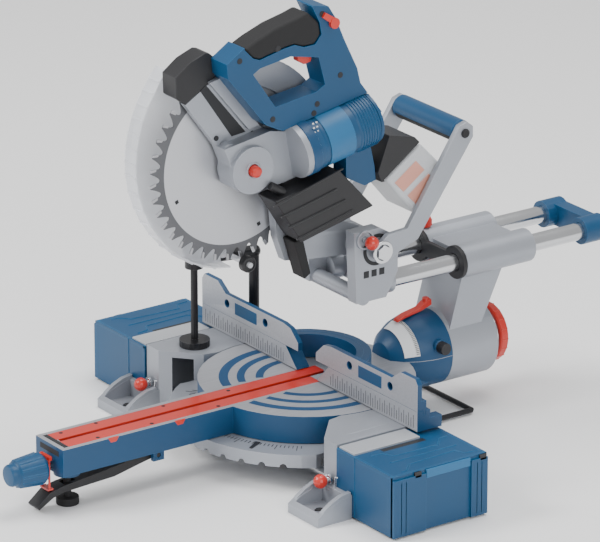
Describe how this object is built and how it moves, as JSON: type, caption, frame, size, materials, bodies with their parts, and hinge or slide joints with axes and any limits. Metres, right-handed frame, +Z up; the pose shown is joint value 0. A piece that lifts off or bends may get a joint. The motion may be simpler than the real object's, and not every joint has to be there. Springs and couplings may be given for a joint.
{
  "type": "sliding mitre saw",
  "caption": "Cordless sliding compound mitre saw with turntable, bevel arm on two rails, plunging head, blade guard, fence, hold-down clamp and side extensions.",
  "frame": {"origin": "on the floor under the middle of the saw's bounding box", "axes": "+X to the user's right along the fence, +Y away from the user along the rails, +Z up"},
  "size_m": [0.662, 0.887, 0.595],
  "materials": {
    "casting": "cast, satin silver",
    "blue_casting": "cast, painted blue, machined grey on top",
    "blue_plastic": "moulded, fine texture",
    "black_plastic": "moulded, fine texture",
    "rubber": "soft, ribbed",
    "red_plastic": "moulded",
    "black_steel": "blackened",
    "bright_steel": "ground",
    "blade_steel": "ground, carbide tips",
    "clear_plastic": "clear moulded",
    "pack_plastic": "moulded"
  },
  "bodies": {
    "base": {"base_casting": "casting", "fence_casting": "blue_casting"},
    "sliding_fence_left": {"sliding_fence_left": "casting"},
    "sliding_fence_right": {"sliding_fence_right": "casting"},
    "extension_left": {"extension_left": "blue_plastic", "extension_rods_left": "bright_steel"},
    "extension_right": {"extension_right": "blue_plastic", "extension_rods_right": "bright_steel"},
    "extension_lock_left": {"extension_lock_left": "red_plastic"},
    "extension_lock_right": {"extension_lock_right": "red_plastic"},
    "tilt_bar": {"tilt_bar": "black_steel"},
    "clamp": {"clamp_post": "black_steel"},
    "clamp_screw": {"clamp_screw": "black_steel"},
    "turntable": {"turntable": "blue_casting", "kerf_plate_left": "red_plastic", "kerf_plate_right": "red_plastic", "bevel_bolt": "bright_steel"},
    "mitre_lock": {"mitre_lock_knob": "blue_plastic", "mitre_lock_rod": "bright_steel"},
    "detent": {"detent_lever": "black_plastic", "detent_wire": "red_plastic"},
    "front_foot": {"front_foot": "rubber"},
    "bevel_stop_knob": {"bevel_stop_knob": "black_plastic"},
    "bevel_arm": {"bevel_arm": "casting", "bevel_pointer": "red_plastic", "bushing_cap": "black_plastic"},
    "bevel_lock_wheel": {"bevel_lock_wheel": "red_plastic"},
    "slide_lock_knob": {"slide_lock_knob": "red_plastic"},
    "carriage": {"carriage_bracket": "casting", "rail_left": "bright_steel", "rail_right": "bright_steel", "rail_end_cap": "blue_plastic"},
    "transport_lock_pin": {"transport_lock_pin": "red_plastic"},
    "head": {"gear_case": "casting", "upper_guard": "casting", "front_cap": "black_plastic", "head_arm": "casting", "motor_housing": "blue_plastic", "motor_end_plate": "blue_plastic", "handle": "blue_plastic", "grip": "rubber", "chute_cover": "black_plastic", "chip_deflector": "rubber", "head_pivot_pin": "bright_steel", "transport_arm_left": "casting", "transport_arm_right": "casting", "transport_grip": "blue_plastic", "battery_dock": "black_plastic"},
    "motor_rotor": {"motor_rotor": "bright_steel"},
    "blade": {"blade": "blade_steel", "spindle": "bright_steel", "inner_flange": "bright_steel", "outer_flange": "bright_steel", "arbor_bolt": "bright_steel"},
    "spindle_lock_button": {"spindle_lock_button": "red_plastic"},
    "lower_guard": {"lower_guard": "clear_plastic"},
    "guard_roller": {"guard_roller": "black_plastic"},
    "trigger": {"trigger": "red_plastic"},
    "lock_off_lever": {"lock_off_lever": "red_plastic"},
    "battery_pack": {"battery_pack": "pack_plastic"}
  },
  "joints": [
    {"name": "sliding_fence_left_slide", "type": "slide", "parent": "base", "child": "sliding_fence_left", "axis": [-1, 0, 0], "range_m": [0, 0.12]},
    {"name": "sliding_fence_right_slide", "type": "slide", "parent": "base", "child": "sliding_fence_right", "axis": [1, 0, 0], "range_m": [0, 0.12]},
    {"name": "extension_left_slide", "type": "slide", "parent": "base", "child": "extension_left", "axis": [-1, 0, 0], "range_m": [0, 0.12]},
    {"name": "extension_right_slide", "type": "slide", "parent": "base", "child": "extension_right", "axis": [1, 0, 0], "range_m": [0, 0.12]},
    {"name": "extension_lock_left_pull", "type": "slide", "parent": "base", "child": "extension_lock_left", "axis": [0, -1, 0], "range_m": [0, 0.008], "stiffness_N_per_m": 400, "springref_m": -0.004},
    {"name": "extension_lock_right_pull", "type": "slide", "parent": "base", "child": "extension_lock_right", "axis": [0, -1, 0], "range_m": [0, 0.008], "stiffness_N_per_m": 400, "springref_m": -0.004},
    {"name": "tilt_bar_slide", "type": "slide", "parent": "base", "child": "tilt_bar", "axis": [0, 1, 0], "range_m": [0, 0.05]},
    {"name": "clamp_swing", "type": "hinge", "parent": "base", "child": "clamp", "pos_m": [-0.167, 0.0405, 0.086], "axis": [0, 0, 1], "range_deg": [0, 45]},
    {"name": "clamp_screw_travel", "type": "slide", "parent": "clamp", "child": "clamp_screw", "axis": [0, 0, 1], "range_m": [0, 0.06]},
    {"name": "mitre_swing", "type": "hinge", "parent": "base", "child": "turntable", "pos_m": [0, 0.0055, 0.086], "axis": [0, 0, 1], "range_deg": [-47, 47]},
    {"name": "mitre_lock_turn", "type": "hinge", "parent": "turntable", "child": "mitre_lock", "pos_m": [0, -0.3945, 0.056], "axis": [0, 1, 0], "range_deg": [-180, 180]},
    {"name": "detent_press", "type": "hinge", "parent": "turntable", "child": "detent", "pos_m": [0, -0.2345, 0.041], "axis": [1, 0, 0], "range_deg": [-3.5, 0], "stiffness_Nm_per_rad": 3, "springref_deg": 11.46},
    {"name": "front_foot_turn", "type": "hinge", "parent": "turntable", "child": "front_foot", "pos_m": [0, -0.3575, 0.026], "axis": [0, 0, 1], "range_deg": [-180, 180]},
    {"name": "bevel_stop_pull", "type": "slide", "parent": "turntable", "child": "bevel_stop_knob", "axis": [1, 0, 0], "range_m": [0, 0.006]},
    {"name": "bevel_tilt", "type": "hinge", "parent": "turntable", "child": "bevel_arm", "pos_m": [0, 0.2055, 0.0844], "axis": [0, 1, 0], "range_deg": [-33, 47]},
    {"name": "bevel_lock_turn", "type": "hinge", "parent": "bevel_arm", "child": "bevel_lock_wheel", "pos_m": [0, 0.2935, 0.0844], "axis": [0, 1, 0], "range_deg": [-60, 60]},
    {"name": "slide_lock_turn", "type": "hinge", "parent": "bevel_arm", "child": "slide_lock_knob", "pos_m": [-0.04, 0.2215, 0.236], "axis": [0, 0, 1], "range_deg": [-180, 180]},
    {"name": "carriage_slide", "type": "slide", "parent": "bevel_arm", "child": "carriage", "axis": [0, 1, 0], "range_m": [-0.085, 0.09]},
    {"name": "transport_lock_pull", "type": "slide", "parent": "carriage", "child": "transport_lock_pin", "axis": [1, 0, 0], "range_m": [0, 0.01]},
    {"name": "head_plunge", "type": "hinge", "parent": "carriage", "child": "head", "pos_m": [0, 0.0705, 0.261], "axis": [1, 0, 0], "range_deg": [0, 52], "stiffness_Nm_per_rad": 14, "springref_deg": -91.67},
    {"name": "blade_spin", "type": "hinge", "parent": "head", "child": "blade", "pos_m": [0, -0.1035, 0.395], "axis": [1, 0, 0], "continuous": true},
    {"name": "motor_spin", "type": "hinge", "parent": "head", "child": "motor_rotor", "pos_m": [0.042, -0.0255, 0.414], "axis": [0, 0.9816, 0.1908], "continuous": true},
    {"name": "spindle_lock_press", "type": "slide", "parent": "head", "child": "spindle_lock_button", "axis": [-1, 0, 0], "range_m": [0, 0.0035], "stiffness_N_per_m": 500, "springref_m": -0.004},
    {"name": "lower_guard_swing", "type": "hinge", "parent": "head", "child": "lower_guard", "pos_m": [0, -0.1035, 0.395], "axis": [1, 0, 0], "range_deg": [-125, 0]},
    {"name": "guard_roller_spin", "type": "hinge", "parent": "lower_guard", "child": "guard_roller", "pos_m": [0, -0.0935, 0.262], "axis": [1, 0, 0], "continuous": true},
    {"name": "trigger_pull", "type": "hinge", "parent": "head", "child": "trigger", "pos_m": [0.033, -0.0115, 0.536], "axis": [1, 0, 0], "range_deg": [-6, 0], "stiffness_Nm_per_rad": 2, "springref_deg": 17.19},
    {"name": "lock_off_turn", "type": "hinge", "parent": "head", "child": "lock_off_lever", "pos_m": [0.052, 0.0095, 0.568], "axis": [1, 0, 0], "range_deg": [0, 20], "stiffness_Nm_per_rad": 0.3, "springref_deg": -28.65},
    {"name": "battery_pull", "type": "slide", "parent": "head", "child": "battery_pack", "axis": [0, 0.581, -0.8139], "range_m": [0, 0.035]}
  ],
  "couplings": [
    {"joint": "lower_guard_swing", "follows": "head_plunge", "ratio": -2.4},
    {"joint": "motor_spin", "follows": "blade_spin", "ratio": -5.5}
  ]
}
